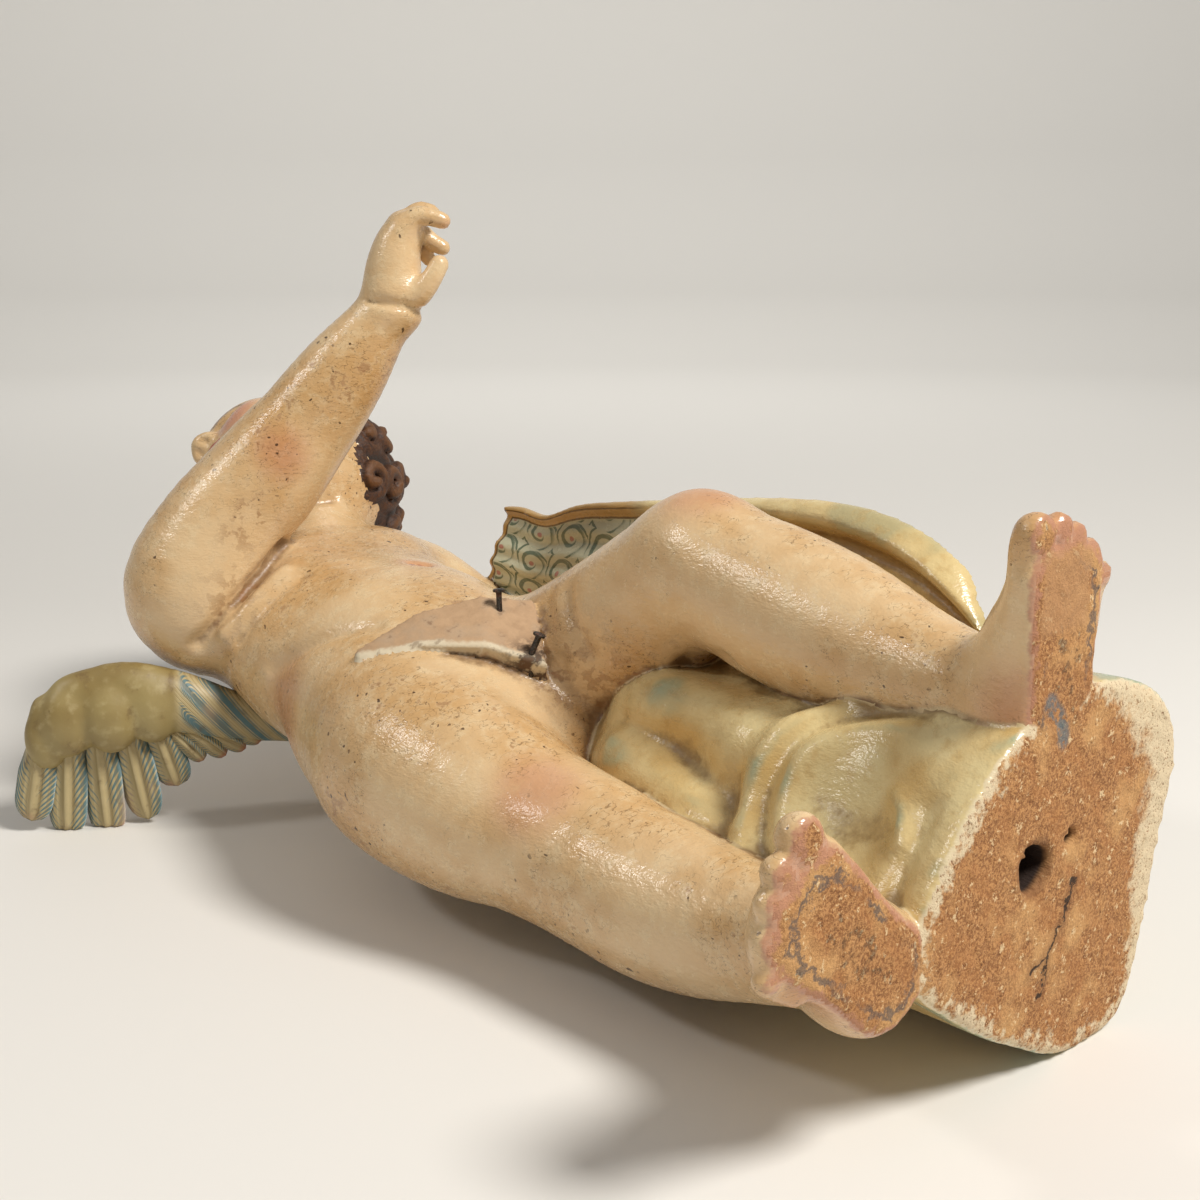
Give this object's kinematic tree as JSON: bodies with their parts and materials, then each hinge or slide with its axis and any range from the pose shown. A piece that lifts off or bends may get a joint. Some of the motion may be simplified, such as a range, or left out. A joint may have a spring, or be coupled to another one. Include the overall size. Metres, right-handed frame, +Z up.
{
  "type": "carved wooden angel statue",
  "caption": "Carved, painted wooden cherub lying on its back with a raised arm, small wings, carved cloth behind the legs and a flat sawn base.",
  "frame": {"origin": "on the ground under the middle of the lying statue", "axes": "+X from head to feet, out of the sawn base; +Y to the figure's left; +Z up"},
  "size_m": [0.5126, 0.2868, 0.2658],
  "materials": {
    "polychrome": "aged varnished paint on carved wood",
    "wing_paint": "aged varnished paint on carved wood",
    "iron": "dull dark iron"
  },
  "bodies": {
    "root": {"figure": "polychrome", "wing_right": "wing_paint", "wing_left": "wing_paint", "nail_upright": "iron", "nail_bent": "iron"}
  },
  "joints": []
}
